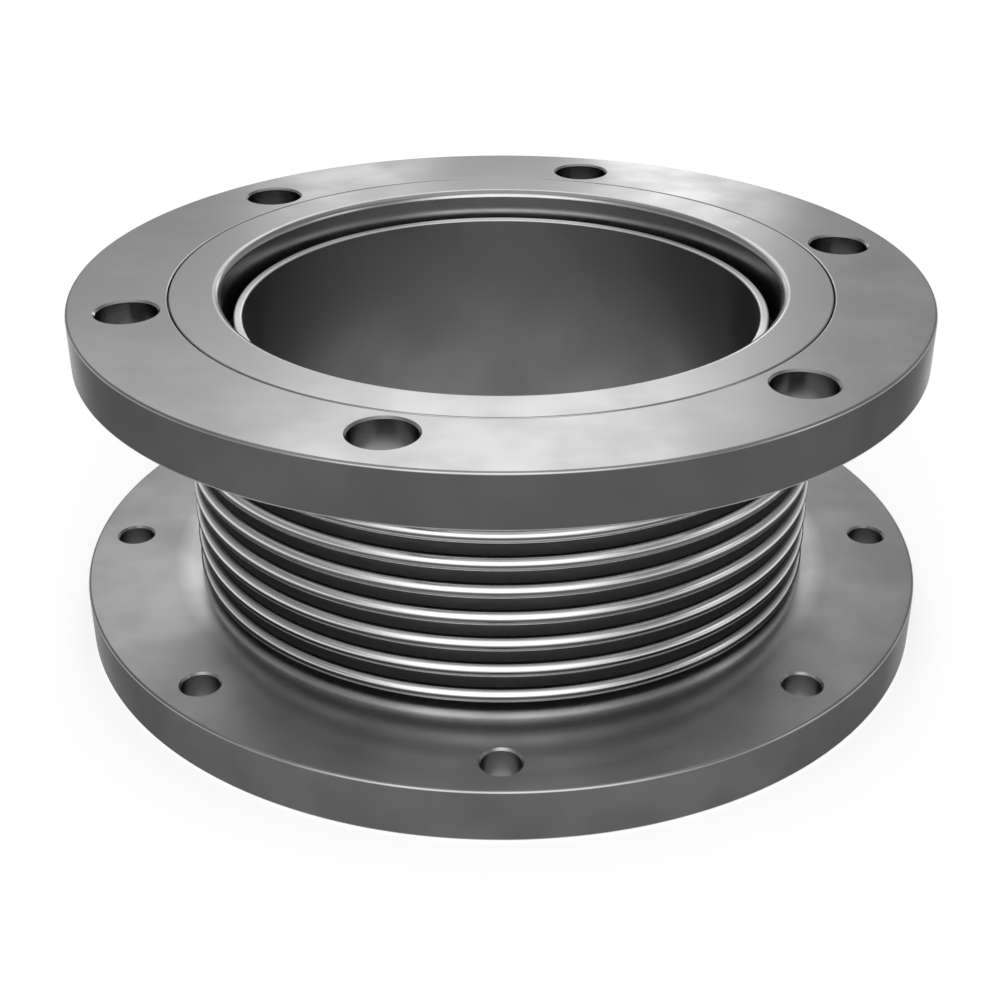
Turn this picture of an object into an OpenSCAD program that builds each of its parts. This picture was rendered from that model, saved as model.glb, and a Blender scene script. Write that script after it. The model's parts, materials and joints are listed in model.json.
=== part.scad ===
// Exhaust bellows with one fixed and one loose flange.
// It stands on its fixed flange with the gas bore along +Z. The origin is the centre of the bottom face.
// Every radius is built outwards from the gas bore, and every height upwards from the bottom face.

/* [Flow liner] */
// Bore of the liner, which is the gas passage
liner_bore = 152.2; // [120:0.1:200]
// Wall of the liner
liner_wall = 2.6; // [1.5:0.1:4]
// Depth of the liner's free rim below the top face
liner_recess = 8.1; // [4:0.1:15]
// Free space between the liner and the stub end's neck
liner_gap = 3.2; // [2:0.1:6]
// Straight length of the liner's spread foot
foot_length = 6; // [4:0.5:8]
// Height over which the liner widens to its foot
flare_height = 6.5; // [5:0.5:10]
// Rounding of the liner's free rim
rim_round = 0.6; // [0.2:0.1:0.7]

/* [Stub end] */
// Wall of the neck
neck_wall = 2.5; // [1.5:0.1:4]
// Width of the flat lap, from the neck's bore outwards
lap_width = 14.5; // [12:0.1:24]
// Thickness of the lap
lap_thickness = 4; // [2.5:0.1:6]
// Rounding of the mouth, where the lap turns down into the neck
mouth_round = 2.25; // [0.5:0.05:2.4]
// Fillet under the lap, where the neck leaves it
neck_fillet = 1; // [0.3:0.1:1.2]

/* [Bellows] */
// Number of convolutions
convolutions = 9; // [4:1:14]
// Distance from one crest to the next
pitch = 8.19; // [6.5:0.01:12]
// Height of a convolution, from the cuff's outside to the crest
convolution_height = 9.5; // [7:0.1:14]
// Wall of the bellows
bellows_wall = 0.6; // [0.4:0.05:1]
// Space between the fixed flange and the first crest
lower_crest_gap = 1.15; // [0.8:0.05:3]
// Space between the last crest and the loose flange
upper_crest_gap = 0.75; // [0.5:0.05:3]

/* [Fixed flange] */
// Thickness of the fixed flange
fixed_thickness = 15.9; // [14:0.1:24]
// Width of the fixed flange outside the crests
fixed_margin = 34.4; // [26:0.1:50]
// Number of bolt holes
fixed_bolts = 8; // [4:1:12]
// Diameter of a bolt hole
fixed_hole = 10.7; // [8:0.1:16]
// Distance from the rim to the hole centres
fixed_hole_inset = 12.1; // [10:0.1:16]
// Turn of the first hole from +X
fixed_hole_turn = 0; // [-45:1:45]

/* [Loose flange] */
// Thickness of the loose flange
loose_thickness = 15.5; // [14:0.1:24]
// Width of the loose flange outside its lap seat
loose_margin = 28.25; // [26:0.05:50]
// Number of bolt holes
loose_bolts = 6; // [4:1:12]
// Diameter of a bolt hole
loose_hole = 17.5; // [10:0.1:20]
// Distance from the rim to the hole centres
loose_hole_inset = 16.8; // [14:0.1:17]
// Turn of the first hole from +X
loose_hole_turn = 15; // [-45:1:45]

/* [Edges, fits and welds] */
// Rounding of the flanges' outer edges
edge_round = 0.8; // [0.3:0.1:1.5]
// Chamfer of the bolt holes and of the flanges' bores
hole_chamfer = 0.6; // [0.3:0.1:1]
// Rounding of the two edges along the lap seat's joint line
joint_round = 0.4; // [0.1:0.05:0.6]
// Play round the lap in its seat
seat_play = 0.35; // [0.2:0.05:0.6]
// Play under the lap, and of the loose flange round the upper weld
turning_play = 0.3; // [0.2:0.05:0.6]
// Play of the cuffs on what they fit
cuff_play = 0.1; // [0.05:0.01:0.2]
// Height of the ring weld under the fixed flange's bore
lower_weld_height = 2; // [1:0.1:3]
// Depth of the ring weld's crown above the bottom face
lower_weld_recess = 1; // [0.5:0.1:2]
// Leg of the fillet weld at the end of the upper cuff
upper_weld_leg = 1.8; // [1:0.1:2.2]

/* [Hidden] */

// Facets of a full turn round the bore, of a bolt hole and of a small edge rounding
round_fn = 240;
hole_fn = 60;
edge_fn = 48;
// Overlap of a cutting tool past the face it cuts
over = 1;

// Radii, from the gas bore outwards
liner_r = liner_bore / 2;
liner_out_r = liner_r + liner_wall;
neck_r = liner_out_r + liner_gap;
neck_out_r = neck_r + neck_wall;
cuff_r = neck_out_r + cuff_play;
cuff_out_r = cuff_r + bellows_wall;
crest_out_r = cuff_out_r + convolution_height;
foot_out_r = cuff_r - cuff_play;
fixed_bore_r = cuff_out_r + cuff_play;
fixed_r = crest_out_r + fixed_margin;
lap_r = neck_r + lap_width;
seat_r = lap_r + seat_play;
loose_bore_r = neck_out_r + upper_weld_leg + turning_play;
loose_r = seat_r + loose_margin;

// The bellows wall follows a middle line of straight flanks and half circles of one radius
bend_r = pitch / 4;
root_centre_r = cuff_r + bellows_wall / 2 + bend_r;
crest_centre_r = crest_out_r - bellows_wall / 2 - bend_r;
half_crest = bend_r + bellows_wall / 2;

// Heights, from the bottom face upwards
weld_top_z = lower_weld_recess + lower_weld_height;
first_crest_z = fixed_thickness + lower_crest_gap + half_crest;
last_crest_z = first_crest_z + (convolutions - 1) * pitch;
lower_root_z = first_crest_z - pitch / 2;
upper_root_z = last_crest_z + pitch / 2;
loose_z = last_crest_z + half_crest + upper_crest_gap;
top_z = loose_z + loose_thickness;
lap_z = top_z - lap_thickness;
upper_cuff_z = lap_z - neck_fillet - upper_weld_leg - turning_play;
liner_top_z = top_z - liner_recess;

// Points drawn in the corner of a material that lies towards +X and +Y, turned to lie towards `inwards`
function towards(inwards, points) = [for (p = points) [p.x * inwards.x, p.y * inwards.y]];

// What a rounding takes off a square corner at the origin
module rounding_waste(r, inwards) {
    difference() {
        polygon(towards(inwards, [[-over, -over], [r, -over], [r, r], [-over, r]]));
        translate(r * inwards) circle(r = r, $fn = edge_fn);
    }
}

// What a chamfer takes off a square corner at the origin
module chamfer_waste(c, inwards) {
    polygon(towards(inwards, [[-over, -over], [c + over, -over], [-over, c + over]]));
}

// A rectangular section of a turned ring. Its edges come in the order inner low, outer low,
// outer high, inner high, and each may have a rounding or a chamfer
module ring_section(low, high, roundings = [0, 0, 0, 0], chamfers = [0, 0, 0, 0]) {
    corners = [low, [high.x, low.y], high, [low.x, high.y]];
    inwards = [[1, 1], [-1, 1], [-1, -1], [1, -1]];
    difference() {
        translate(low) square(high - low);
        for (i = [0:3]) translate(corners[i]) {
            if (roundings[i] > 0) rounding_waste(roundings[i], inwards[i]);
            if (chamfers[i] > 0) chamfer_waste(chamfers[i], inwards[i]);
        }
    }
}

// Bolt holes on a circle, with a chamfer at both faces
module bolt_holes(count, circle_r, hole_d, turn, low_z, high_z) {
    hole_r = hole_d / 2;
    mouth_r = hole_r + hole_chamfer + over;
    mouth_h = hole_chamfer + over;
    for (i = [0:count - 1]) rotate(turn + i * 360 / count) translate([circle_r, 0, 0]) {
        translate([0, 0, low_z - over]) cylinder(r = hole_r, h = high_z - low_z + 2 * over, $fn = hole_fn);
        translate([0, 0, low_z - over]) cylinder(r1 = mouth_r, r2 = hole_r, h = mouth_h, $fn = hole_fn);
        translate([0, 0, high_z - hole_chamfer])
            cylinder(r1 = hole_r, r2 = mouth_r, h = mouth_h, $fn = hole_fn);
    }
}

// The bellows wall where it bends round a centre: a half ring open to the inside of the
// bellows for a crest and to the outside for a root, or only the half of it above or below the centre
module bend(centre, crest, above = true, below = true) {
    reach = 2 * half_crest;
    translate(centre) intersection() {
        difference() {
            circle(r = bend_r + bellows_wall / 2, $fn = edge_fn);
            circle(r = bend_r - bellows_wall / 2, $fn = edge_fn);
        }
        translate([crest ? 0 : -reach, below ? -reach : 0])
            square([reach, above && below ? 2 * reach : reach]);
    }
}

// The bellows wall where it runs straight from a root to a crest
module flank(z) {
    translate([root_centre_r, z - bellows_wall / 2])
        square([crest_centre_r - root_centre_r, bellows_wall]);
}

// The bellows wall where it runs straight up as a cuff
module cuff(low_z, high_z) {
    translate([cuff_r, low_z]) square([bellows_wall, high_z - low_z]);
}

// The fixed flange: a turned ring with bolt holes, whose bore takes the lower cuff
module fixed_flange() {
    color("slategray") difference() {
        rotate_extrude($fn = round_fn) ring_section(
            [fixed_bore_r, 0], [fixed_r, fixed_thickness],
            roundings = [0, edge_round, edge_round, 0],
            chamfers = [hole_chamfer, 0, 0, hole_chamfer]);
        bolt_holes(fixed_bolts, fixed_r - fixed_hole_inset, fixed_hole, fixed_hole_turn, 0, fixed_thickness);
    }
}

// The flow liner: a tube with a free upper rim, widened at the bottom to a foot inside the lower cuff
module flow_liner() {
    foot_r = foot_out_r - liner_wall;
    foot_z = weld_top_z + foot_length;
    flare_z = foot_z + flare_height;
    slope = atan((foot_out_r - liner_out_r) / flare_height);
    // The inner bends lie lower than the outer ones, so that the sloped wall is as thick as the rest
    bend_drop = liner_wall * tan(slope / 2);
    color("silver") rotate_extrude($fn = round_fn) difference() {
        polygon([
            [foot_r, weld_top_z],
            [foot_out_r, weld_top_z],
            [foot_out_r, foot_z],
            [liner_out_r, flare_z],
            [liner_out_r, liner_top_z],
            [liner_r, liner_top_z],
            [liner_r, flare_z - bend_drop],
            [foot_r, foot_z - bend_drop],
        ]);
        translate([liner_r, liner_top_z]) rounding_waste(rim_round, [1, -1]);
        translate([liner_out_r, liner_top_z]) rounding_waste(rim_round, [-1, -1]);
    }
}

// The bellows: one thin wall of U-shaped convolutions between a lower and an upper cuff
module bellows() {
    color("lightsteelblue") rotate_extrude($fn = round_fn) {
        cuff(weld_top_z, lower_root_z);
        bend([root_centre_r, lower_root_z], crest = false, below = false);
        for (i = [0:convolutions - 1]) {
            z = first_crest_z + i * pitch;
            flank(z - bend_r);
            bend([crest_centre_r, z], crest = true);
            flank(z + bend_r);
            if (i > 0) bend([root_centre_r, z - pitch / 2], crest = false);
        }
        bend([root_centre_r, upper_root_z], crest = false, above = false);
        cuff(upper_root_z, upper_cuff_z);
    }
}

// The ring weld that joins the fixed flange, the lower cuff and the liner's foot, with a crowned face
module lower_weld() {
    width = fixed_bore_r - foot_out_r + liner_wall;
    crown = lower_weld_height / 3;
    crown_r = (width * width / 4 + crown * crown) / (2 * crown);
    color("dimgray") rotate_extrude($fn = round_fn) intersection() {
        translate([fixed_bore_r - width, lower_weld_recess]) square([width, lower_weld_height]);
        translate([fixed_bore_r - width / 2, lower_weld_recess + crown_r])
            circle(r = crown_r, $fn = round_fn);
    }
}

// The stub end: a flat lap flush with the top face, turned down into a neck inside the upper cuff
module stub_end() {
    color("gainsboro") rotate_extrude($fn = round_fn) {
        ring_section(
            [neck_r, lap_z], [lap_r, top_z],
            roundings = [0, joint_round, joint_round, mouth_round]);
        ring_section(
            [neck_r, upper_root_z], [neck_out_r, lap_z],
            roundings = [joint_round, joint_round, 0, 0]);
        difference() {
            translate([neck_out_r, lap_z - neck_fillet]) square(neck_fillet);
            translate([neck_out_r + neck_fillet, lap_z - neck_fillet]) circle(r = neck_fillet, $fn = edge_fn);
        }
    }
}

// The fillet weld at the end of the upper cuff, a quarter round on the neck
module upper_weld() {
    low = [neck_out_r, upper_cuff_z + cuff_play];
    color("dimgray") rotate_extrude($fn = round_fn) intersection() {
        translate(low) square(upper_weld_leg);
        translate(low) circle(r = upper_weld_leg, $fn = edge_fn);
    }
}

// The loose flange: a turned ring with bolt holes, whose stepped bore holds the lap in a seat
module loose_flange() {
    color("slategray") difference() {
        rotate_extrude($fn = round_fn) {
            ring_section(
                [loose_bore_r, loose_z], [seat_r, lap_z - turning_play],
                chamfers = [hole_chamfer, 0, 0, hole_chamfer]);
            ring_section(
                [seat_r, loose_z], [loose_r, top_z],
                roundings = [0, edge_round, edge_round, joint_round]);
        }
        bolt_holes(loose_bolts, loose_r - loose_hole_inset, loose_hole, loose_hole_turn, loose_z, top_z);
    }
}

fixed_flange();
flow_liner();
bellows();
lower_weld();
stub_end();
upper_weld();
loose_flange();
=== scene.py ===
"""An exhaust bellows in a plain studio: its turned rings, its convoluted wall and its weld beads.

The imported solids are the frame. Each piece is remade here by Geometry Nodes as a finer mesh of the
same form, at the place and size of the solid that it stands for, and gets a steel finish of its own.
"""

import json
import logging
import math
from collections.abc import Callable
from dataclasses import dataclass
from enum import Enum

import bpy
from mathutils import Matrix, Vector


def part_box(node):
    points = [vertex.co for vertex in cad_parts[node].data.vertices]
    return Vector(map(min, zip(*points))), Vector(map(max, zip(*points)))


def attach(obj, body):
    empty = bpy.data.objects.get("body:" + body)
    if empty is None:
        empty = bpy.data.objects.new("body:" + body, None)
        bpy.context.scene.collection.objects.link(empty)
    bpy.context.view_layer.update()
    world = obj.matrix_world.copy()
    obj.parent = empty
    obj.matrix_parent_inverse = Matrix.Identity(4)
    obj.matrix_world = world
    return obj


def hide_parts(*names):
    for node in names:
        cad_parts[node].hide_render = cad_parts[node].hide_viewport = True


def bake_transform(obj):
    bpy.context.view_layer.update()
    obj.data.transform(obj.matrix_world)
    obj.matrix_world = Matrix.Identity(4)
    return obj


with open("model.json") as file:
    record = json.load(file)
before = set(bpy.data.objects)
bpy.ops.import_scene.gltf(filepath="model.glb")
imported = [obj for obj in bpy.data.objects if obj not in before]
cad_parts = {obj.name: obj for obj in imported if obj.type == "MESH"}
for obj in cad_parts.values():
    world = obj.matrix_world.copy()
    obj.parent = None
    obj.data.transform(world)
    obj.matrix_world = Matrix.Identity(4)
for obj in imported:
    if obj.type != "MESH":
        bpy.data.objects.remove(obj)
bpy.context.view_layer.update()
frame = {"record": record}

LOG = logging.getLogger("exhaust_bellows")
# Points nearer than this are joined where parts of a mesh meet.
MERGE_DISTANCE = 1e-5
# Edges that turn by more than this are shaded sharp.
SHARP_ANGLE = math.radians(40)
# How far beyond a rounding the point lies that keeps its side flat.
EDGE_SUPPORT = 0.00008

Point = tuple[float, float]
Triple = tuple[float, float, float]
Socket = bpy.types.NodeSocket


class Body(Enum):
    """The bodies that move against each other."""

    FIXED = "fixed_end"
    MOVING = "moving_end"
    LOOSE = "loose_flange"


class Slot(Enum):
    """The record's finishes."""

    FLANGE = "turned_flange"
    STUB = "turned_stub"
    BELLOWS = "bellows_sheet"
    LINER = "liner_sheet"
    WELD = "weld_bead"


class Finish(Enum):
    """The finishes, of which two share the flanges' slot."""

    FIXED_FLANGE = "faced_flange"
    LOOSE_FLANGE = "turned_flange"
    STUB = "turned_stub"
    BELLOWS = "formed_sheet"
    LINER = "rolled_sheet"
    WELD = "weld_bead"


Materials = dict[Finish, bpy.types.Material]


class Part(Enum):
    """What a point of a section belongs to. Only the bellows' section has more than one part."""

    CONVOLUTION = 0
    LOWER_CUFF = 1
    UPPER_CUFF = 2
    RING = 3


class NodeBuilder:
    """Adds nodes to one tree and joins them by their sockets."""

    def __init__(self, tree: bpy.types.NodeTree) -> None:
        """Keep the tree that the nodes are added to."""
        self.tree = tree

    def add(self, kind: str, inputs: dict[str | int, object] | None = None,
            **options: object) -> bpy.types.Node:
        """Add a node, set its options and fill its inputs.

        Args:
            kind: Blender's name for the type of node.
            inputs: A value or an output socket for each input, by its name or its place.
            **options: Values for the node's own options.

        Returns:
            The new node.
        """
        node = self.tree.nodes.new(kind)
        for name, value in options.items():
            setattr(node, name, value)
        for key, value in (inputs or {}).items():
            if isinstance(value, Socket):
                self.tree.links.new(value, node.inputs[key])
            else:
                node.inputs[key].default_value = value
        return node

    def calc(self, operation: str, *values: float | Socket) -> Socket:
        """Add a Math node with these operands, numbers or sockets, and give its result."""
        return self.add("ShaderNodeMath", dict(enumerate(values)), operation=operation).outputs[0]

    def spread(self, value: Socket, low: float | Socket, high: float | Socket, to_low: float | Socket,
               to_high: float | Socket, smooth: bool = False) -> Socket:
        """Add a Map Range node that holds its result between its two ends.

        Args:
            value: What is mapped.
            low: The value that gives to_low.
            high: The value that gives to_high.
            to_low: The result at and below low.
            to_high: The result at and above high.
            smooth: Whether the result eases in and out of both ends.

        Returns:
            The result's socket.
        """
        ends = {"Value": value, "From Min": low, "From Max": high, "To Min": to_low, "To Max": to_high}
        kind = "SMOOTHSTEP" if smooth else "LINEAR"
        return self.add("ShaderNodeMapRange", ends, interpolation_type=kind).outputs[0]


class SurfaceEffects:
    """Shader node groups that several finishes share, each built when it is first asked for."""

    # The stretch of the cloudy noise that is spread over the whole mask.
    CLOUD_LOW = 0.25
    CLOUD_HIGH = 0.75

    @staticmethod
    def group(name: str, inputs: dict[str, str], output: str,
              build: Callable[[NodeBuilder, bpy.types.Node], Socket]) -> bpy.types.NodeTree:
        """Give a shader node group, and build it if it isn't there yet.

        Args:
            name: The group's name.
            inputs: The type of each named input.
            output: The name of its one output, a number.
            build: Adds the group's nodes and returns the socket that feeds the output.

        Returns:
            The group's tree.
        """
        found = bpy.data.node_groups.get(name)
        if found:
            return found
        tree = bpy.data.node_groups.new(name, "ShaderNodeTree")
        for socket_name, kind in inputs.items():
            tree.interface.new_socket(socket_name, in_out="INPUT", socket_type=kind)
        tree.interface.new_socket(output, in_out="OUTPUT", socket_type="NodeSocketFloat")
        nodes = NodeBuilder(tree)
        result = build(nodes, nodes.add("NodeGroupInput"))
        nodes.add("NodeGroupOutput", {output: result})
        return tree

    @classmethod
    def turning_lines(cls) -> bpy.types.NodeTree:
        """Give the group for the fine rings that a lathe tool leaves round the axis.

        Returns:
            The group's tree.
        """
        def build(nodes: NodeBuilder, given: bpy.types.Node) -> Socket:
            """Make noise that varies along the radius and the height and not round the axis.

            Args:
                nodes: The group's nodes.
                given: The group's inputs.

            Returns:
                The height of the rings.
            """
            at = nodes.add("ShaderNodeSeparateXYZ", {0: given.outputs["Vector"]}).outputs
            radius = nodes.calc("SQRT", nodes.calc(
                "ADD", nodes.calc("MULTIPLY", at[0], at[0]), nodes.calc("MULTIPLY", at[1], at[1])))
            across = nodes.calc("DIVIDE", radius, given.outputs["Spacing"])
            up = nodes.calc("DIVIDE", at[2], given.outputs["Spacing"])
            place = nodes.add("ShaderNodeCombineXYZ", {0: across, 1: up, 2: given.outputs["Seed"]})
            noise = {"Vector": place.outputs[0], "Scale": 1.0, "Detail": 3.0, "Roughness": 0.6}
            return nodes.add("ShaderNodeTexNoise", noise).outputs["Fac"]

        inputs = {"Vector": "NodeSocketVector", "Spacing": "NodeSocketFloat", "Seed": "NodeSocketFloat"}
        return cls.group("turning_lines", inputs, "Height", build)

    @classmethod
    def smudges(cls) -> bpy.types.NodeTree:
        """Give the group for the soft cloudy patches that handling leaves on bare steel.

        Returns:
            The group's tree.
        """
        def build(nodes: NodeBuilder, given: bpy.types.Node) -> Socket:
            """Make cloudy noise, stretched to the full range.

            Args:
                nodes: The group's nodes.
                given: The group's inputs.

            Returns:
                The mask of the patches.
            """
            at = nodes.add("ShaderNodeVectorMath", {0: given.outputs["Vector"], 1: given.outputs["Shift"]},
                           operation="ADD")
            scale = nodes.calc("DIVIDE", 1.0, given.outputs["Patch Size"])
            noise = {"Vector": at.outputs[0], "Scale": scale, "Detail": 2.5, "Roughness": 0.5}
            cloud = nodes.add("ShaderNodeTexNoise", noise).outputs["Fac"]
            return nodes.spread(cloud, cls.CLOUD_LOW, cls.CLOUD_HIGH, 0.0, 1.0, smooth=True)

        inputs = {"Vector": "NodeSocketVector", "Patch Size": "NodeSocketFloat", "Shift": "NodeSocketVector"}
        return cls.group("smudges", inputs, "Mask", build)

    @classmethod
    def upright_wall(cls) -> bpy.types.NodeTree:
        """Give the group that tells upright walls, at 1, from faces and rounded edges, at 0, for painted
        light.

        Returns:
            The group's tree.
        """
        def build(nodes: NodeBuilder, given: bpy.types.Node) -> Socket:
            """Read the steepness of the surface from its normal.

            Args:
                nodes: The group's nodes.
                given: The group's inputs.

            Returns:
                The mask of the walls.
            """
            tilt = nodes.add("ShaderNodeSeparateXYZ", {0: given.outputs["Normal"]}).outputs[2]
            slope = nodes.calc("ABSOLUTE", nodes.calc("SUBTRACT", tilt, given.outputs["Middle Slope"]))
            return nodes.spread(slope, given.outputs["Full Slope"], given.outputs["No Slope"], 1.0, 0.0)

        inputs = {"Normal": "NodeSocketVector", "Middle Slope": "NodeSocketFloat",
                  "Full Slope": "NodeSocketFloat", "No Slope": "NodeSocketFloat"}
        return cls.group("upright_wall", inputs, "Mask", build)


@dataclass(frozen=True)
class Zone:
    """How the steel looks from one radius outwards, up to the next zone. Its tones are linear greys that
    hold painted light.
    """

    face_tone_with_painted_light: float
    wall_tone_with_painted_light: float
    roughness: float
    start: float = 0.0
    blend: float = 0.0006


@dataclass(frozen=True)
class SteelFinish:
    """Bare steel whose upright walls are mostly painted darker than its faces as shade, with its zones from
    the axis outwards.

    A slope is the height of the surface's normal, from 0 on an upright wall to 1 on a level face. A gain
    paints a highlight on what faces down, standing in for light reflected from below. The roughness stays
    on one side of 0.27 within a zone, because the denoiser leaves hairlines where a surface crosses it.
    """

    slot: Slot
    zones: list[Zone]
    underside_painted_highlight: float = 1.0
    roughness_spread: float = 0.04
    smudge_depth: float = 0.07
    patch_size: float = 0.022
    line_spacing: float = 0.0011
    line_height: float = 0.0000007
    middle_slope: float = 0.0
    full_slope: float = 0.1
    no_slope: float = 0.45
    edge_tint: float = 0.5
    seed: float = 0.0
    warmth: float = 0.0

    def effect(self, nodes: NodeBuilder, group: bpy.types.NodeTree,
               **inputs: float | Triple | Socket) -> Socket:
        """Place one of the shared effects.

        Args:
            nodes: The material's nodes.
            group: The effect's group.
            **inputs: The effect's inputs, with low lines for the spaces in their names.

        Returns:
            The effect's output.
        """
        named = {name.replace("_", " "): value for name, value in inputs.items()}
        return nodes.add("ShaderNodeGroup", named, node_tree=group).outputs[0]

    def by_zone(self, nodes: NodeBuilder, place: Socket,
                value: Callable[[Zone], float]) -> Socket | float:
        """Give a value that changes from zone to zone.

        Args:
            nodes: The material's nodes.
            place: The point on the surface.
            value: Picks the value out of a zone.

        Returns:
            The value, or the socket that holds it where there are several zones.
        """
        level = nodes.add("ShaderNodeVectorMath", {0: place, 1: (1.0, 1.0, 0.0)}, operation="MULTIPLY")
        radius = nodes.add("ShaderNodeVectorMath", {0: level.outputs[0]}, operation="LENGTH")
        result = value(self.zones[0])
        for zone in self.zones[1:]:
            reached = nodes.spread(radius.outputs["Value"], zone.start, zone.start + zone.blend, 0.0, 1.0)
            result = nodes.add("ShaderNodeMix", {0: reached, 2: result, 3: value(zone)},
                               data_type="FLOAT").outputs[0]
        return result

    def material(self, name: str) -> bpy.types.Material:
        """Build the finish's material.

        Args:
            name: The finish's name.

        Returns:
            The material.
        """
        material = bpy.data.materials.new("steel_" + name)
        material.use_nodes = True
        material.node_tree.nodes.clear()
        nodes = NodeBuilder(material.node_tree)
        place = nodes.add("ShaderNodeTexCoord").outputs
        upright = self.effect(nodes, SurfaceEffects.upright_wall(), Normal=place["Normal"],
                              Middle_Slope=self.middle_slope, Full_Slope=self.full_slope,
                              No_Slope=self.no_slope)
        smudge = self.effect(nodes, SurfaceEffects.smudges(), Vector=place["Object"],
                             Patch_Size=self.patch_size, Shift=(self.seed, self.seed, self.seed))
        lines = self.effect(nodes, SurfaceEffects.turning_lines(), Vector=place["Object"],
                            Spacing=self.line_spacing, Seed=self.seed)
        face = self.by_zone(nodes, place["Object"], lambda zone: zone.face_tone_with_painted_light)
        wall = self.by_zone(nodes, place["Object"], lambda zone: zone.wall_tone_with_painted_light)
        dull = self.by_zone(nodes, place["Object"], lambda zone: zone.roughness)
        # Painted light: the tone mixes face and wall tones by slope, so walls are painted darker or lighter
        # than faces.
        tone = nodes.add("ShaderNodeMix", {0: upright, 2: face, 3: wall}, data_type="FLOAT").outputs[0]
        shade = nodes.spread(smudge, 0.0, 1.0, 1 - self.smudge_depth, 1 + self.smudge_depth)
        # Painted highlight on what faces down, in place of light reflected up from below.
        if self.underside_painted_highlight > 1.0:
            tilt = nodes.add("ShaderNodeSeparateXYZ", {0: place["Normal"]}).outputs[2]
            shade = nodes.calc("MULTIPLY", shade, nodes.spread(
                tilt, -self.no_slope, -self.full_slope, self.underside_painted_highlight, 1.0))
        steel = (1 + self.warmth, 1.0, 1 - self.warmth)
        base = nodes.add("ShaderNodeVectorMath", {0: steel, "Scale": nodes.calc("MULTIPLY", tone, shade)},
                         operation="SCALE")
        worn = nodes.spread(smudge, 0.0, 1.0, self.roughness_spread, -self.roughness_spread)
        bump = nodes.add("ShaderNodeBump", {"Height": lines, "Strength": 1.0, "Distance": self.line_height})
        shader = nodes.add("ShaderNodeBsdfPrincipled", {
            "Base Color": base.outputs[0], "Metallic": 1.0, "Roughness": nodes.calc("ADD", dull, worn),
            "Specular Tint": (self.edge_tint, self.edge_tint, self.edge_tint, 1.0),
            "Normal": bump.outputs[0]})
        nodes.add("ShaderNodeOutputMaterial", {"Surface": shader.outputs[0]})
        return material


class GeometryTree:
    """A Geometry Nodes tree with named inputs for its sizes."""

    def __init__(self, name: str, inputs: dict[str, tuple[str, object]]) -> None:
        """Start a tree.

        Args:
            name: The tree's name.
            inputs: The socket type and the value of each named input.
        """
        self.tree = bpy.data.node_groups.new(name, "GeometryNodeTree")
        self.values = {key: value for key, (_, value) in inputs.items()}
        interface = self.tree.interface
        interface.new_socket("Geometry", in_out="INPUT", socket_type="NodeSocketGeometry")
        for key, (kind, _) in inputs.items():
            interface.new_socket(key, in_out="INPUT", socket_type=kind)
        interface.new_socket("Geometry", in_out="OUTPUT", socket_type="NodeSocketGeometry")
        self.nodes = NodeBuilder(self.tree)
        self.given = self.nodes.add("NodeGroupInput").outputs

    def sweep(self, section: Socket, around: Socket, path_radius: Socket) -> Socket:
        """Sweep a section's edges round the axis.

        A section lies with its heights downwards, which turns its lines the other way round, so the
        curve is reversed to leave the faces outwards.

        Args:
            section: The section's edges.
            around: The number of stretches in the circle.
            path_radius: The circle's radius.

        Returns:
            The swept mesh.
        """
        profile = self.nodes.add("GeometryNodeMeshToCurve", {"Mesh": section})
        outwards = self.nodes.add("GeometryNodeReverseCurve", {"Curve": profile.outputs[0]})
        path = self.nodes.add("GeometryNodeCurvePrimitiveCircle", {
            "Resolution": around, "Radius": path_radius})
        return self.nodes.add("GeometryNodeCurveToMesh", {
            "Curve": path.outputs[0], "Profile Curve": outwards.outputs[0]}).outputs[0]

    def close(self, geometry: Socket, material: bpy.types.Material) -> None:
        """End the tree in smooth shading, Realize Instances and Set Material.

        Args:
            geometry: The tree's finished geometry.
            material: The piece's finish.
        """
        smooth = self.nodes.add("GeometryNodeSetShadeSmooth", {"Geometry": geometry})
        real = self.nodes.add("GeometryNodeRealizeInstances", {"Geometry": smooth.outputs[0]})
        dressed = self.nodes.add("GeometryNodeSetMaterial", {
            "Geometry": real.outputs[0], "Material": material})
        self.nodes.add("NodeGroupOutput", {"Geometry": dressed.outputs[0]})

    def run(self, base: bpy.types.Mesh, name: str) -> bpy.types.Object:
        """Run the tree on a base mesh and keep the result as a plain mesh.

        Args:
            base: The mesh that the tree starts from.
            name: The finished piece's name.

        Returns:
            The piece's object, at the origin and with no modifier.
        """
        piece = bpy.data.objects.new(name, base)
        bpy.context.scene.collection.objects.link(piece)
        modifier = piece.modifiers.new(self.tree.name, "NODES")
        modifier.node_group = self.tree
        for item in self.tree.interface.items_tree:
            if item.in_out == "INPUT" and item.name in self.values:
                modifier[item.identifier] = self.values[item.name]
        made = bpy.data.meshes.new_from_object(piece.evaluated_get(bpy.context.evaluated_depsgraph_get()))
        piece.modifiers.remove(modifier)
        piece.data = made
        made.name = name
        made.set_sharp_from_angle(angle=SHARP_ANGLE)
        return piece


def arc(centre: Point, radius: float, start: float, end: float, steps: int) -> list[Point]:
    """Give points along an arc.

    Args:
        centre: The arc's centre, as a radius and a height.
        radius: The arc's own radius.
        start: The first point's angle in degrees, from the outward direction.
        end: The last point's angle in degrees.
        steps: The number of stretches.

    Returns:
        One point more than there are stretches.
    """
    angles = [math.radians(start + (end - start) * i / steps) for i in range(steps + 1)]
    return [(centre[0] + radius * math.cos(a), centre[1] + radius * math.sin(a)) for a in angles]


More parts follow.
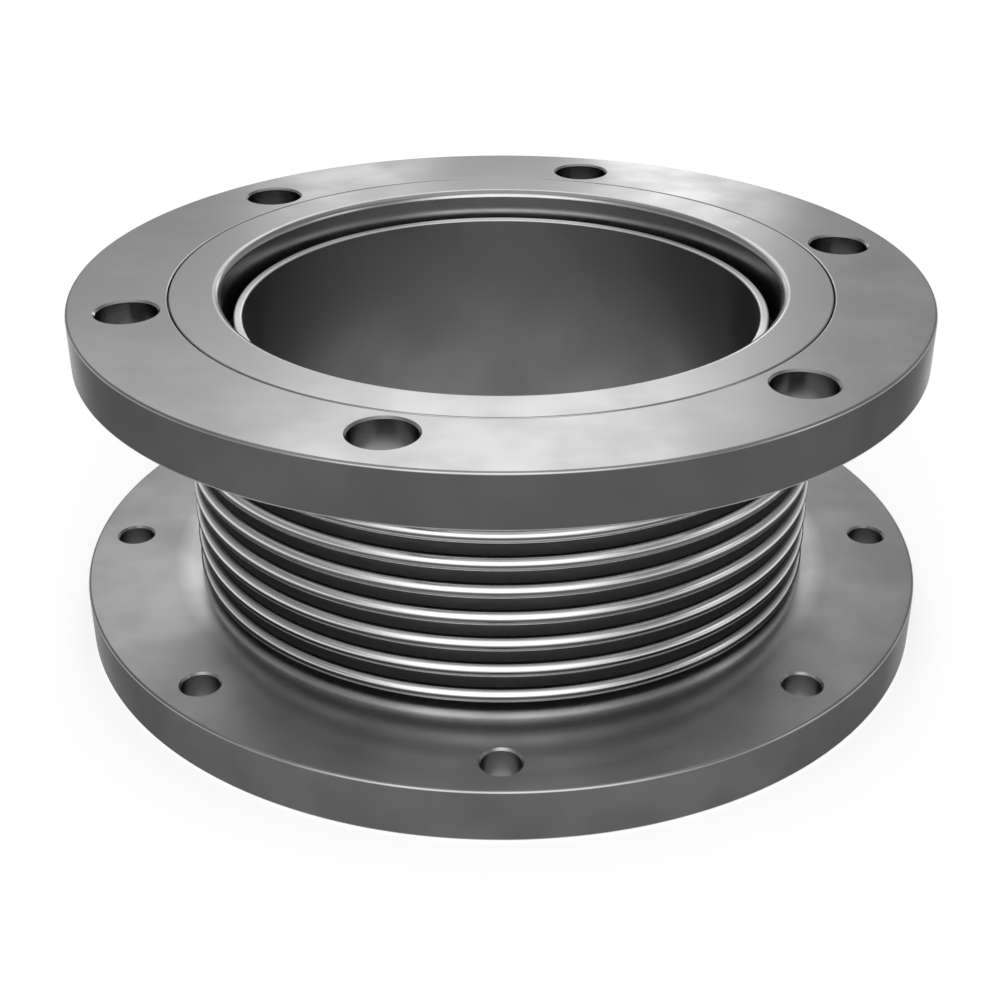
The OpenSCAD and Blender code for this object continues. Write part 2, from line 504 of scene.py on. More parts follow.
def section_mesh(name: str, lines: list[tuple[Part, list[Point]]], path_radius: float,
                 closed: bool = False) -> bpy.types.Mesh:
    """Make a mesh of edges from the lines of a section.

    Args:
        name: The mesh's name.
        lines: The part that each line belongs to, and its points as radius and height.
        path_radius: The radius of the circle that the section is swept round.
        closed: Whether each line also runs from its last point to its first.

    Returns:
        The mesh, laid out so that a sweep turns its X outwards and its Y down.
    """
    points, edges, parts = [], [], []
    for part, line in lines:
        start = len(points)
        edges += [(start + i, start + i + 1) for i in range(len(line) - 1)]
        edges += [(start + len(line) - 1, start)] if closed else []
        points += [(radius - path_radius, -height, 0.0) for radius, height in line]
        parts += [part.value] * len(line)
    mesh = bpy.data.meshes.new(name)
    mesh.from_pydata(points, edges, [])
    mesh.attributes.new("part", "INT", "POINT").data.foreach_set("value", parts)
    return mesh


@dataclass(frozen=True)
class Corner:
    """A corner of a turned section, as a radius and a height, and how it is broken."""

    r: float
    z: float
    rounding: float = 0.0
    chamfer: float = 0.0

    def points(self, before: "Corner", after: "Corner", steps: int) -> list[Point]:
        """Give the points of the broken corner.

        Beside each end of a rounding a further point lies on the straight side, so that the side
        is shaded flat up to there.

        Args:
            before: The corner before this one.
            after: The corner after this one.
            steps: The number of stretches in a rounding.

        Returns:
            The points as radius and height.
        """
        at = Vector((self.r, self.z))
        back = (Vector((before.r, before.z)) - at).normalized()
        onward = (Vector((after.r, after.z)) - at).normalized()
        if self.chamfer:
            return [tuple(at + back * self.chamfer), tuple(at + onward * self.chamfer)]
        if not self.rounding:
            return [(self.r, self.z)]
        half = back.angle(onward) / 2
        reach = self.rounding / math.tan(half)
        centre = at + (back + onward).normalized() * (self.rounding / math.sin(half))
        first, last = at + back * reach - centre, at + onward * reach - centre
        start = math.degrees(math.atan2(first.y, first.x))
        turn = math.degrees(math.atan2(first.cross(last), first.dot(last)))
        return (
            [tuple(at + back * (reach + EDGE_SUPPORT))]
            + arc(tuple(centre), self.rounding, start, start + turn, steps)
            + [tuple(at + onward * (reach + EDGE_SUPPORT))]
        )


@dataclass(frozen=True)
class BoltCircle:
    """A circle of chamfered bolt holes, whose drill reaches a little past both faces of the flange."""

    count: int
    circle_r: float
    hole_r: float
    turn: float
    chamfer: float = 0.0006
    over: float = 0.001
    hole_steps: int = 72
    between_rings: float = 0.25

    @classmethod
    def of_mount(cls, mount_name: str, turn: float) -> "BoltCircle":
        """Read a bolt circle from one of the record's mounts.

        Args:
            mount_name: The mount's name.
            turn: The first hole's angle in degrees.

        Returns:
            The bolt circle.
        """
        mount = next(mount for mount in frame["record"]["mounts"] if mount["name"] == mount_name)
        dims = mount["dims"]
        return cls(dims["count"], dims["pcd_mm"] / 2000, dims["hole_r_mm"] / 1000, turn)

    def inputs(self, low_z: float, high_z: float) -> dict[str, tuple[str, object]]:
        """Give the tree's inputs for the holes.

        Args:
            low_z: The height of the flange's lower face.
            high_z: The height of its upper face.

        Returns:
            The socket type and the value of each input.
        """
        return {
            "Holes": ("NodeSocketInt", self.count),
            "Bolt Circle Radius": ("NodeSocketFloat", self.circle_r),
            "First Hole": ("NodeSocketFloat", math.radians(self.turn)),
            "Hole Radius": ("NodeSocketFloat", self.hole_r),
            "Hole Chamfer": ("NodeSocketFloat", self.chamfer),
            "Lower Face": ("NodeSocketFloat", low_z),
            "Upper Face": ("NodeSocketFloat", high_z),
        }

    def drill(self, made: GeometryTree, ring: Socket) -> Socket:
        """Add the nodes that cut the holes out of a ring.

        The drill starts as a cylinder of four rings of points, which lie a half and a sixth of its
        depth from its middle, and the share in between_rings tells which are which. The end rings are
        spread into countersinks, and the inner rings are moved to where the straight hole starts.

        Args:
            made: The ring's tree.
            ring: The ring's mesh.

        Returns:
            The drilled mesh.
        """
        nodes, given = made.nodes, made.given
        low, high = given["Lower Face"], given["Upper Face"]
        radius, chamfer = given["Hole Radius"], given["Hole Chamfer"]
        depth = nodes.calc("ADD", nodes.calc("SUBTRACT", high, low), 2 * self.over)
        drill = nodes.add("GeometryNodeMeshCylinder", {
            "Vertices": self.hole_steps, "Side Segments": 3, "Radius": radius, "Depth": depth}).outputs[0]
        at = nodes.add("ShaderNodeSeparateXYZ", {
            0: nodes.add("GeometryNodeInputPosition").outputs[0]}).outputs
        above = nodes.calc("ABSOLUTE", at[2])
        at_end = nodes.calc("GREATER_THAN", above, nodes.calc("MULTIPLY", depth, self.between_rings))
        flare = nodes.calc("DIVIDE", nodes.calc("ADD", chamfer, self.over), radius)
        widen = nodes.calc("ADD", nodes.calc("MULTIPLY", at_end, flare), 1.0)
        half = nodes.calc("MULTIPLY", depth, 0.5)
        straight = nodes.calc("SUBTRACT", half, nodes.calc("ADD", chamfer, self.over))
        reach = nodes.spread(at_end, 0.0, 1.0, straight, half)
        moved = nodes.add("ShaderNodeCombineXYZ", {
            0: nodes.calc("MULTIPLY", at[0], widen), 1: nodes.calc("MULTIPLY", at[1], widen),
            2: nodes.calc("MULTIPLY", nodes.calc("SIGN", at[2]), reach)})
        flared = nodes.add("GeometryNodeSetPosition", {"Geometry": drill, "Position": moved.outputs[0]})
        middle = nodes.calc("MULTIPLY", nodes.calc("ADD", high, low), 0.5)
        circle = nodes.add("GeometryNodeMeshCircle", {
            "Vertices": given["Holes"], "Radius": given["Bolt Circle Radius"]})
        spots = nodes.add("GeometryNodeTransform", {
            "Geometry": circle.outputs[0],
            "Translation": nodes.add("ShaderNodeCombineXYZ", {2: middle}).outputs[0],
            "Rotation": nodes.add("ShaderNodeCombineXYZ", {2: given["First Hole"]}).outputs[0]})
        drills = nodes.add("GeometryNodeInstanceOnPoints", {
            "Points": spots.outputs[0], "Instance": flared.outputs[0]})
        real = nodes.add("GeometryNodeRealizeInstances", {"Geometry": drills.outputs[0]})
        cut = nodes.add("GeometryNodeMeshBoolean", {0: ring, 1: real.outputs[0]},
                        operation="DIFFERENCE", solver="MANIFOLD")
        return nodes.add("GeometryNodeMergeByDistance", {
            "Geometry": cut.outputs[0], "Distance": MERGE_DISTANCE}).outputs[0]


@dataclass
class TurnedRing:
    """A ring turned round the axis from one section, with a circle of bolt holes where it has one."""

    name: str
    node: str
    body: Body
    slot: Slot
    corners: list[Corner]
    bolts: BoltCircle | None = None
    around: int = 288
    edge_steps: int = 8

    def outline(self) -> list[Point]:
        """Give the section's outline.

        Returns:
            The points, against the clock.
        """
        points = []
        for i, corner in enumerate(self.corners):
            after = self.corners[(i + 1) % len(self.corners)]
            points += corner.points(self.corners[i - 1], after, self.edge_steps)
        return points

    def tree(self, path_radius: float, material: bpy.types.Material) -> GeometryTree:
        """Make the tree that sweeps the section round the axis and drills the bolt holes.

        Args:
            path_radius: The radius of the circle that the section is swept round.
            material: The ring's finish.

        Returns:
            The tree.
        """
        inputs = {
            "Around": ("NodeSocketInt", self.around),
            "Path Radius": ("NodeSocketFloat", path_radius),
        }
        if self.bolts:
            heights = [corner.z for corner in self.corners]
            inputs |= self.bolts.inputs(min(heights), max(heights))
        made = GeometryTree("turned_" + self.node, inputs)
        ring = made.sweep(made.given["Geometry"], made.given["Around"], made.given["Path Radius"])
        made.close(self.bolts.drill(made, ring) if self.bolts else ring, material)
        return made

    def build(self, material: bpy.types.Material) -> bpy.types.Object:
        """Build the ring.

        Args:
            material: The ring's finish.

        Returns:
            The finished piece.
        """
        points = self.outline()
        path_radius = sum(radius for radius, _ in points) / len(points)
        base = section_mesh(self.node + "_section", [(Part.RING, points)], path_radius, closed=True)
        piece = self.tree(path_radius, material).run(base, self.name)
        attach(piece, self.body.value)
        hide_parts(self.node)
        return piece


@dataclass
class BellowsWall:
    """The thin wall of U-shaped convolutions between its two cuffs.

    Its sizes are in metres. The crests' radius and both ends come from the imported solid.
    """

    convolutions: int = 9
    pitch: float = 0.00819
    height: float = 0.0095
    wall: float = 0.0006
    lower_crest_gap: float = 0.00115
    around: int = 208
    root_steps: int = 7
    crest_steps: int = 14
    inner_steps: int = 4

    def __post_init__(self) -> None:
        """Work out the places that follow from the sizes and the frame."""
        low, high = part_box("bellows")
        flange_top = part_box("fixed_flange")[1].z
        self.low_z, self.high_z = low.z, high.z
        self.crest_r = high.x
        self.cuff_r = self.crest_r - self.height
        self.bend_r = self.pitch / 4
        half_wall = self.wall / 2
        self.root_centre_r = self.cuff_r - half_wall + self.bend_r
        self.crest_centre_r = self.crest_r - half_wall - self.bend_r
        self.root_z = flange_top + self.lower_crest_gap + half_wall + self.bend_r - self.pitch / 2
        self.end_z = self.root_z + self.convolutions * self.pitch

    def convolution(self, offset: float, root_steps: int, crest_steps: int) -> list[Point]:
        """Give one side of the wall over one convolution, from root to root.

        Args:
            offset: How far this side lies outside the wall's middle line.
            root_steps: Stretches in each quarter of a root.
            crest_steps: Stretches in the crest.

        Returns:
            The side's points, upwards.
        """
        root = self.bend_r - offset
        crest = self.bend_r + offset
        crest_z = self.root_z + self.pitch / 2
        return (
            arc((self.root_centre_r, self.root_z), root, 180, 90, root_steps)
            + arc((self.crest_centre_r, crest_z), crest, -90, 90, crest_steps)
            + arc((self.root_centre_r, self.root_z + self.pitch), root, 270, 180, root_steps)
        )

    def section(self, path_radius: float) -> bpy.types.Mesh:
        """Make the section: both sides of one convolution, and the two cuffs' ends.

        Args:
            path_radius: The radius of the circle that the section is swept round.

        Returns:
            The section's mesh.
        """
        half = self.wall / 2
        inner_r = self.cuff_r - self.wall
        top_z = self.root_z + self.pitch
        top_end = self.high_z - (self.convolutions - 1) * self.pitch
        return section_mesh("bellows_section", [
            (Part.CONVOLUTION, self.convolution(half, self.root_steps, self.crest_steps)),
            (Part.CONVOLUTION, self.convolution(-half, self.inner_steps, 2 * self.inner_steps)),
            (Part.LOWER_CUFF, [(self.cuff_r, self.root_z), (self.cuff_r, self.low_z),
                               (inner_r, self.low_z), (inner_r, self.root_z)]),
            (Part.UPPER_CUFF, [(self.cuff_r, top_z), (self.cuff_r, top_end),
                               (inner_r, top_end), (inner_r, top_z)]),
        ], path_radius)

    def tree(self, path_radius: float, material: bpy.types.Material) -> GeometryTree:
        """Make the tree that repeats the convolution and sweeps the whole section round the axis.

        Args:
            path_radius: The radius of the circle that the section is swept round.
            material: The bellows' finish.

        Returns:
            The tree.
        """
        made = GeometryTree("convoluted_wall", {
            "Convolutions": ("NodeSocketInt", self.convolutions),
            "Pitch": ("NodeSocketFloat", self.pitch),
            "Path Radius": ("NodeSocketFloat", path_radius),
            "Around": ("NodeSocketInt", self.around),
        })
        nodes, given = made.nodes, made.given
        part = nodes.add("GeometryNodeInputNamedAttribute", {"Name": "part"}, data_type="INT").outputs[0]

        def taken(wanted: Part) -> Socket:
            """Take one part out of the section.

            Args:
                wanted: The part.

            Returns:
                Its edges.
            """
            same = nodes.add("FunctionNodeCompare", {2: part, 3: wanted.value}, data_type="INT",
                             operation="EQUAL")
            return nodes.add("GeometryNodeSeparateGeometry", {
                "Geometry": given["Geometry"], "Selection": same.outputs[0]}).outputs[0]

        step = nodes.add("ShaderNodeCombineXYZ", {1: nodes.calc("MULTIPLY", given["Pitch"], -1.0)})
        row = nodes.add("GeometryNodeMeshLine", {
            "Count": given["Convolutions"], "Offset": step.outputs[0]})
        repeats = nodes.add("GeometryNodeInstanceOnPoints", {
            "Points": row.outputs[0], "Instance": taken(Part.CONVOLUTION)})
        real = nodes.add("GeometryNodeRealizeInstances", {"Geometry": repeats.outputs[0]})
        last = nodes.calc("SUBTRACT", given["Convolutions"], 1.0)
        shift = nodes.add("ShaderNodeVectorMath", {0: step.outputs[0], "Scale": last}, operation="SCALE")
        upper = nodes.add("GeometryNodeTransform", {
            "Geometry": taken(Part.UPPER_CUFF), "Translation": shift.outputs[0]})
        joined = nodes.add("GeometryNodeJoinGeometry")
        for source in (real.outputs[0], taken(Part.LOWER_CUFF), upper.outputs[0]):
            made.tree.links.new(source, joined.inputs[0])
        merged = nodes.add("GeometryNodeMergeByDistance", {
            "Geometry": joined.outputs[0], "Distance": MERGE_DISTANCE})
        made.close(made.sweep(merged.outputs[0], given["Around"], given["Path Radius"]), material)
        return made

    def build(self, materials: Materials) -> list[bpy.types.Object]:
        """Build the wall between the two ends.

        Args:
            materials: The material of each finish.

        Returns:
            The finished piece.
        """
        path_radius = (self.root_centre_r + self.crest_centre_r) / 2
        tree = self.tree(path_radius, materials[Finish.BELLOWS])
        piece = tree.run(self.section(path_radius), "bellows_shell")
        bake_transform(piece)
        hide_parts("bellows")
        return [piece]


@dataclass
class WeldBead:
    """A ring weld whose free face carries the ripples of its passes."""

    name: str
    node: str
    body: Body
    outline: list[Point]
    ripples: int = 150
    ripple_depth: float = 0.00022
    steps_per_ripple: int = 6

    def tree(self, path_radius: float, material: bpy.types.Material) -> GeometryTree:
        """Make the tree that sweeps the bead's section and presses the ripples into it.

        Args:
            path_radius: The radius of the circle that the section is swept round.
            material: The weld's finish.

        Returns:
            The tree.
        """
        made = GeometryTree("weld_bead_" + self.name, {
            "Ripples": ("NodeSocketInt", self.ripples),
            "Steps": ("NodeSocketInt", self.steps_per_ripple),
            "Ripple Depth": ("NodeSocketFloat", self.ripple_depth),
            "Path Radius": ("NodeSocketFloat", path_radius),
        })
        nodes, given = made.nodes, made.given
        around = nodes.calc("MULTIPLY", given["Ripples"], given["Steps"])
        swept = made.sweep(given["Geometry"], around, given["Path Radius"])
        place = nodes.add("GeometryNodeInputPosition").outputs[0]
        at = nodes.add("ShaderNodeSeparateXYZ", {0: place}).outputs
        angle = nodes.calc("ARCTAN2", at[1], at[0])
        wave = nodes.calc("SINE", nodes.calc("MULTIPLY", angle, given["Ripples"]))
        press = nodes.calc("MULTIPLY", nodes.calc("ADD", wave, 1.0),
                           nodes.calc("MULTIPLY", given["Ripple Depth"], -0.5))
        normal = nodes.add("GeometryNodeInputNormal").outputs[0]
        offset = nodes.add("ShaderNodeVectorMath", {0: normal, "Scale": press}, operation="SCALE")
        pressed = nodes.add("GeometryNodeSetPosition", {
            "Geometry": swept, "Offset": offset.outputs[0]})
        made.close(pressed.outputs[0], material)
        return made

    def build(self, material: bpy.types.Material) -> bpy.types.Object:
        """Build the bead.

        Args:
            material: The weld's finish.

        Returns:
            The finished piece.
        """
        path_radius = sum(radius for radius, _ in self.outline) / len(self.outline)
        base = section_mesh(self.name + "_section", [(Part.RING, self.outline)], path_radius,
                            closed=True)
        piece = self.tree(path_radius, material).run(base, self.name)
        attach(piece, self.body.value)
        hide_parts(self.node)
        return piece


@dataclass
class FixedEnd:
    """The lower end: the fixed flange, and the flow liner that it holds.

    Its sizes are in metres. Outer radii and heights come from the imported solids.
    """

    bore_r: float = 0.0852
    edge: float = 0.0008
    bore_chamfer: float = 0.0006
    first_hole: float = 0.0
    liner_r: float = 0.0761
    liner_wall: float = 0.0026
    liner_foot: float = 0.006
    liner_flare: float = 0.0065
    liner_rim: float = 0.0006

    def flange(self) -> TurnedRing:
        """Give the fixed flange, a flat ring with bolt holes.

        Returns:
            The ring.
        """
        low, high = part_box("fixed_flange")
        return TurnedRing("fixed_flange_ring", "fixed_flange", Body.FIXED, Slot.FLANGE, [
            Corner(self.bore_r, low.z, chamfer=self.bore_chamfer),
            Corner(high.x, low.z, rounding=self.edge),
            Corner(high.x, high.z, rounding=self.edge),
            Corner(self.bore_r, high.z, chamfer=self.bore_chamfer),
        ], BoltCircle.of_mount("fixed_bolts", self.first_hole))

    def liner(self) -> TurnedRing:
        """Give the flow liner, a tube that widens to its foot.

        Returns:
            The ring.
        """
        low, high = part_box("flow_liner")
        foot_r, out_r = high.x - self.liner_wall, self.liner_r + self.liner_wall
        foot_z = low.z + self.liner_foot
        flare_z = foot_z + self.liner_flare
        slant = math.atan((high.x - out_r) / self.liner_flare)
        bend_drop = self.liner_wall * math.tan(slant / 2)
        return TurnedRing("flow_liner_tube", "flow_liner", Body.FIXED, Slot.LINER, [
            Corner(foot_r, low.z),
            Corner(high.x, low.z),
            Corner(high.x, foot_z),
            Corner(out_r, flare_z),
            Corner(out_r, high.z, rounding=self.liner_rim),
            Corner(self.liner_r, high.z, rounding=self.liner_rim),
            Corner(self.liner_r, flare_z - bend_drop),
            Corner(foot_r, foot_z - bend_drop),
        ])

    def build(self, materials: Materials) -> list[bpy.types.Object]:
        """Build the flange and the liner.

        Args:
            materials: The material of each finish.

        Returns:
            The finished pieces.
        """
        return [
            self.flange().build(materials[Finish.FIXED_FLANGE]),
            self.liner().build(materials[Finish.LINER]),
        ]


@dataclass
class StubEnd:
    """The stub end, a neck whose upper end is a flat lap. It moves with the bellows' upper cuff.

    Its sizes are in metres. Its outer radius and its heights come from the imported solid.
    """

    neck_r: float = 0.0819
    neck_wall: float = 0.0025
    lap_height: float = 0.004
    edge: float = 0.0004
    mouth: float = 0.00225
    fillet: float = 0.001

    def ring(self) -> TurnedRing:
        """Give the stub end's ring.

        Returns:
            The ring.
        """
        low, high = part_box("stub_end")
        neck_out_r, lap_z = self.neck_r + self.neck_wall, high.z - self.lap_height
        return TurnedRing("stub_end_ring", "stub_end", Body.MOVING, Slot.STUB, [
            Corner(self.neck_r, low.z, rounding=self.edge),
            Corner(neck_out_r, low.z, rounding=self.edge),
            Corner(neck_out_r, lap_z, rounding=self.fillet),
            Corner(high.x, lap_z, rounding=self.edge),
            Corner(high.x, high.z, rounding=self.edge),
            Corner(self.neck_r, high.z, rounding=self.mouth),
        ])

    def build(self, materials: Materials) -> list[bpy.types.Object]:
        """Build the stub end, as a list of one piece."""
        return [self.ring().build(materials[Finish.STUB])]


@dataclass
class LooseFlange:
    """The loose flange, whose stepped bore holds the stub end's lap.

    Its sizes are in metres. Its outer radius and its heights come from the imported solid.
    """

    bore_r: float = 0.0865
    seat_r: float = 0.09675
    seat_depth: float = 0.0043
    edge: float = 0.0008
    joint_edge: float = 0.0004
    bore_chamfer: float = 0.0006
    first_hole: float = 15.0

    def ring(self) -> TurnedRing:
        """Give the flange's ring.

        Returns:
            The ring.
        """
        low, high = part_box("loose_flange")
        seat_z = high.z - self.seat_depth
        return TurnedRing("loose_flange_ring", "loose_flange", Body.LOOSE, Slot.FLANGE, [
            Corner(self.bore_r, low.z, chamfer=self.bore_chamfer),
            Corner(high.x, low.z, rounding=self.edge),
            Corner(high.x, high.z, rounding=self.edge),
            Corner(self.seat_r, high.z, rounding=self.joint_edge),
            Corner(self.seat_r, seat_z),
            Corner(self.bore_r, seat_z, chamfer=self.bore_chamfer),
        ], BoltCircle.of_mount("loose_bolts", self.first_hole))

    def build(self, materials: Materials) -> list[bpy.types.Object]:
        """Build the flange, as a list of one piece."""
        return [self.ring().build(materials[Finish.LOOSE_FLANGE])]


@dataclass
class RingWelds:
    """The two ring welds that join the bellows' cuffs to its ends.

    Their sizes are in metres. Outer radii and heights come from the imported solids.
    """

    lower_width: float = 0.0034
    lower_crown_share: float = 1 / 3
    lower_steps: int = 14
    upper_steps: int = 10

    def lower(self) -> WeldBead:
        """Give the lower weld, whose lower face is crowned by a share of the weld's height.

        Returns:
            The bead.
        """
        low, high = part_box("lower_weld")
        half = self.lower_width / 2
        crown = (high.z - low.z) * self.lower_crown_share
        crown_r = (half * half + crown * crown) / (2 * crown)
        tilt = math.degrees(math.asin(half / crown_r))
        face = arc((high.x - half, low.z + crown_r), crown_r, 270 - tilt, 270 + tilt, self.lower_steps)
        back = [(high.x, high.z), (high.x - self.lower_width, high.z)]
        return WeldBead("lower_weld_bead", "lower_weld", Body.FIXED, face + back)

    def upper(self) -> WeldBead:
        """Give the upper weld, a quarter round against the stub end's neck.

        Returns:
            The bead.
        """
        low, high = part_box("upper_weld")
        leg = high.z - low.z
        root = (high.x - leg, low.z)
        face = arc(root, leg, 0, 90, self.upper_steps)
        return WeldBead("upper_weld_bead", "upper_weld", Body.MOVING, [root] + face)

    def build(self, materials: Materials) -> list[bpy.types.Object]:
        """Build both welds, the lower one first."""
        return [bead.build(materials[Finish.WELD]) for bead in (self.lower(), self.upper())]


@dataclass(frozen=True)
class SoftLamp:
    """A flat lamp that is brightest in its middle and that the camera doesn't see.

    Its brightness is that of a white panel at 1.
    """

    name: str
    turn: float
    rise: float
    distance: float
    width: float
    height: float
    brightness: float
    core: float = 0.0

    def build(self, aim: Vector) -> None:
        """Hang the lamp and point it.

        Args:
            aim: The point that the lamp faces, and that its turn, rise and distance start from.
        """
        light = bpy.data.lights.new(self.name, "AREA")
        light.shape = "RECTANGLE"
        light.size, light.size_y = self.width, self.height
        light.energy = self.brightness * math.pi * self.width * self.height
        light.use_nodes = True
        light.node_tree.nodes.clear()
        nodes = NodeBuilder(light.node_tree)
        on_panel = nodes.add("ShaderNodeNewGeometry").outputs["Parametric"]
        from_middle = nodes.add("ShaderNodeVectorMath", {0: on_panel, 1: (0.5, 0.5, 0.0)},
                                operation="DISTANCE").outputs["Value"]
        fade = nodes.spread(from_middle, self.core / 2, 0.5, 1.0, 0.0, smooth=True)
        emission = nodes.add("ShaderNodeEmission", {"Strength": fade})
        nodes.add("ShaderNodeOutputLight", {"Surface": emission.outputs[0]})
        turn, rise = math.radians(self.turn), math.radians(self.rise)
        away = Vector((math.sin(turn) * math.cos(rise), -math.cos(turn) * math.cos(rise), math.sin(rise)))
        lamp = bpy.data.objects.new(self.name, light)
        lamp.location = aim + away * self.distance
        lamp.rotation_euler = (-away).to_track_quat("-Z", "Y").to_euler()
        lamp.visible_camera = False
        bpy.context.scene.collection.objects.link(lamp)


@dataclass
class Studio:
    """The pale floor, the soft light and the camera at the photograph's viewing angle.

    The tones of the surroundings run from the haze at the horizon to the zenith, and where each one
    ends or starts is the sine of its elevation.
    """

    camera_place: Triple = (0.0, -0.43935, 0.26742)
    camera_pitch: float = 61.466
    lens: float = 56.784
    shift_x: float = -0.001155
    lit_place: Triple = (0.0, 0.0, 0.08)
    floor_reach: float = 60.0
    floor_drop: float = 0.0002
    floor_tone: float = 0.8
    floor_glow: float = 0.6
    far_floor_glow: float = 0.78
    far_floor_start: float = 0.8
    far_floor_end: float = 1.5
    haze_tone: float = 0.6
    haze_end: float = 0.08
    low_tone: float = 0.35
    low_end: float = 0.2
    middle_tone: float = 0.2
    middle_start: float = 0.6
    middle_end: float = 0.7
    zenith_tone: float = 0.5
    zenith_start: float = 0.95

    def lamps(self) -> list[SoftLamp]:
        """List the lamps. A turn of 0 is in front of the part, and 90 is to its right.

        Returns:
            The lamps.
        """
        return [
            SoftLamp("lamp_front", turn=-3, rise=22, distance=1.2,
                     width=2.8, height=2.1, brightness=1.35, core=0.3),
            SoftLamp("lamp_left", turn=-55, rise=32, distance=1.3,
                     width=0.9, height=0.7, brightness=0.4),
            SoftLamp("lamp_right", turn=76, rise=17, distance=1.3,
                     width=0.9, height=0.65, brightness=1.3),
            SoftLamp("lamp_behind_wide", turn=182, rise=27, distance=1.7,
                     width=2.2, height=1.5, brightness=0.31, core=0.5),
            SoftLamp("lamp_behind_far_left", turn=198, rise=34, distance=1.5,
                     width=0.75, height=0.6, brightness=0.5, core=0.4),
            SoftLamp("lamp_behind_high", turn=178.7, rise=36, distance=1.36,
                     width=0.75, height=1.15, brightness=1.0, core=0.4),
            SoftLamp("lamp_behind_low_left", turn=188.5, rise=14, distance=1.15,
                     width=0.27, height=0.24, brightness=1.5, core=0.4),
            SoftLamp("lamp_behind_low_right", turn=170.3, rise=14, distance=1.15,
                     width=0.29, height=0.24, brightness=2.6, core=0.4),
        ]

    def build_camera(self) -> None:
        """Set up the camera."""
        data = bpy.data.cameras.new("camera")
        data.lens, data.shift_x = self.lens, self.shift_x
        camera = bpy.data.objects.new("camera", data)
        camera.location = self.camera_place
        camera.rotation_euler = (math.radians(self.camera_pitch), 0.0, 0.0)
        bpy.context.scene.collection.objects.link(camera)
        bpy.context.scene.camera = camera

    def build_floor(self) -> None:
        """Lay a plain floor that shows white and keeps the part's shadow."""
        mesh = bpy.data.meshes.new("floor")
        edge, low = self.floor_reach, -self.floor_drop
        corners = [(-edge, -edge, low), (edge, -edge, low), (edge, edge, low), (-edge, edge, low)]
        mesh.from_pydata(corners, [], [(0, 1, 2, 3)])
        floor = bpy.data.objects.new("floor", mesh)
        bpy.context.scene.collection.objects.link(floor)
        material = bpy.data.materials.new("pale_floor")
        material.use_nodes = True
        material.node_tree.nodes.clear()
        nodes = NodeBuilder(material.node_tree)
        tone = (self.floor_tone, self.floor_tone, self.floor_tone, 1.0)
        lit = nodes.add("ShaderNodeBsdfDiffuse", {"Color": tone})
        path = nodes.add("ShaderNodeLightPath").outputs
        seen = nodes.calc("MAXIMUM", path["Is Camera Ray"], nodes.calc(
            "MAXIMUM", path["Is Glossy Ray"], path["Is Transmission Ray"]))
        away = nodes.add("ShaderNodeVectorMath", {0: nodes.add("ShaderNodeTexCoord").outputs["Object"]},
                         operation="LENGTH").outputs["Value"]
        strength = nodes.spread(away, self.far_floor_start, self.far_floor_end,
                                self.floor_glow, self.far_floor_glow)
        glow = nodes.add("ShaderNodeEmission", {"Strength": nodes.calc("MULTIPLY", seen, strength)})
        both = nodes.add("ShaderNodeAddShader", {0: lit.outputs[0], 1: glow.outputs[0]})
        nodes.add("ShaderNodeOutputMaterial", {"Surface": both.outputs[0]})
        mesh.materials.append(material)

    def build_world(self) -> None:
        """Set up a plain grey surrounding that is palest at the horizon."""
        world = bpy.data.worlds.new("studio")
        bpy.context.scene.world = world
        world.use_nodes = True
        world.node_tree.nodes.clear()
        nodes = NodeBuilder(world.node_tree)
        up = nodes.add("ShaderNodeSeparateXYZ", {0: nodes.add("ShaderNodeTexCoord").outputs["Generated"]})
        haze = nodes.spread(up.outputs[2], 0.0, self.haze_end, self.haze_tone, 0.0)
        low = nodes.spread(up.outputs[2], self.low_end, self.middle_start, self.low_tone, self.middle_tone)
        high = nodes.spread(up.outputs[2], self.middle_end, self.zenith_start,
                            0.0, self.zenith_tone - self.middle_tone)
        tone = nodes.calc("ADD", haze, nodes.calc("ADD", low, high))
        back = nodes.add("ShaderNodeBackground", {"Color": (1, 1, 1, 1), "Strength": tone})
        nodes.add("ShaderNodeOutputWorld", {"Surface": back.outputs[0]})

    def build(self) -> None:
        """Build the whole studio."""
        self.build_camera()
        self.build_floor()
        self.build_world()
        for lamp in self.lamps():
            lamp.build(Vector(self.lit_place))
        bpy.context.scene.view_settings.view_transform = "Standard"


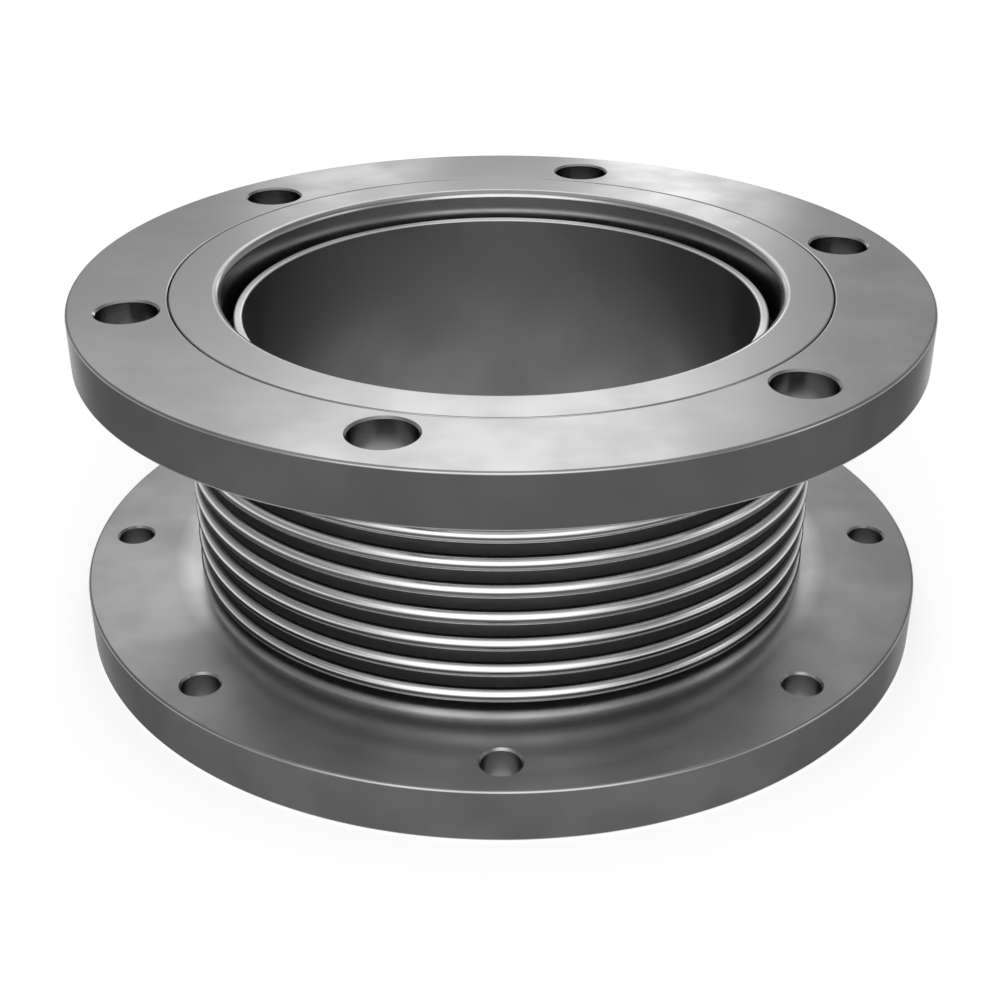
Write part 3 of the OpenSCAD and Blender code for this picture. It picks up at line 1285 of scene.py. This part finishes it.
def finishes() -> dict[Finish, SteelFinish]:
    """List the object's finishes. The outermost zone of a flange is its rim, painted dark as shade.

    Returns:
        The finish for each name.
    """
    return {
        # Fixed flange: the face near the bellows is painted brighter, a painted reflection of the lowest
        # crest; its rim is painted dark as shade.
        Finish.FIXED_FLANGE: SteelFinish(Slot.FLANGE, [
            Zone(face_tone_with_painted_light=0.68, wall_tone_with_painted_light=0.3, roughness=0.25),
            Zone(face_tone_with_painted_light=0.47, wall_tone_with_painted_light=0.36, roughness=0.25, start=0.098, blend=0.005),
            Zone(face_tone_with_painted_light=0.47, wall_tone_with_painted_light=0.12, roughness=0.25, start=0.1235),
        ], roughness_spread=0.015, smudge_depth=0.13),
        # Loose flange: the hole walls and rim are painted darker than the faces as shade; the seat's edge
        # keeps a lighter tone for its highlight.
        Finish.LOOSE_FLANGE: SteelFinish(Slot.FLANGE, [
            Zone(face_tone_with_painted_light=0.55, wall_tone_with_painted_light=0.55, roughness=0.21),
            Zone(face_tone_with_painted_light=0.55, wall_tone_with_painted_light=0.26, roughness=0.21, start=0.0985),
            Zone(face_tone_with_painted_light=0.55, wall_tone_with_painted_light=0.092, roughness=0.21, start=0.1235),
        ], smudge_depth=0.09),
        # Stub end: its walls and roundings are painted a little lighter than its flat faces, a painted light
        # on the neck.
        Finish.STUB: SteelFinish(Slot.STUB, [
            Zone(face_tone_with_painted_light=0.57, wall_tone_with_painted_light=0.6, roughness=0.22),
        ], seed=3.0),
        # Bellows: painted shade darkens the roots and flanks below the crests' middle radius, and the
        # crests' equators are painted darker as a painted reflection of a dark band.
        Finish.BELLOWS: SteelFinish(Slot.BELLOWS, [
            Zone(face_tone_with_painted_light=0.33, wall_tone_with_painted_light=0.33, roughness=0.45),
            Zone(face_tone_with_painted_light=0.15, wall_tone_with_painted_light=0.15, roughness=0.2, start=0.0922),
            Zone(face_tone_with_painted_light=0.72, wall_tone_with_painted_light=0.1, roughness=0.2, start=0.0932),
        ], underside_painted_highlight=1.2, roughness_spread=0.02, smudge_depth=0.04, line_height=0.0000002,
            middle_slope=0.01, full_slope=0.095, no_slope=0.31, seed=5.0),
        # Liner: its rim's face is painted near white as a highlight, and its walls are painted dark as
        # shade.
        Finish.LINER: SteelFinish(Slot.LINER, [
            Zone(face_tone_with_painted_light=0.95, wall_tone_with_painted_light=0.23, roughness=0.4),
        ], roughness_spread=0.06, patch_size=0.03, line_height=0.0000004, seed=8.0),
        # Weld: its walls are painted slightly darker than its faces as shade.
        Finish.WELD: SteelFinish(Slot.WELD, [
            Zone(face_tone_with_painted_light=0.35, wall_tone_with_painted_light=0.3, roughness=0.4),
        ], warmth=0.03, seed=11.0),
    }


def report(piece: bpy.types.Object) -> None:
    """Log a finished piece's name and its triangles."""
    piece.data.calc_loop_triangles()
    LOG.info("%s: %d triangles", piece.name, len(piece.data.loop_triangles))


def main() -> None:
    """Build the studio and every sub-assembly in order."""
    logging.basicConfig(level=logging.INFO, format="%(name)s: %(message)s")
    Studio().build()
    materials = {name: finish.material(name.value) for name, finish in finishes().items()}
    for assembly in (FixedEnd(), BellowsWall(), StubEnd(), LooseFlange(), RingWelds()):
        for piece in assembly.build(materials):
            report(piece)


if __name__ == "__main__":
    main()
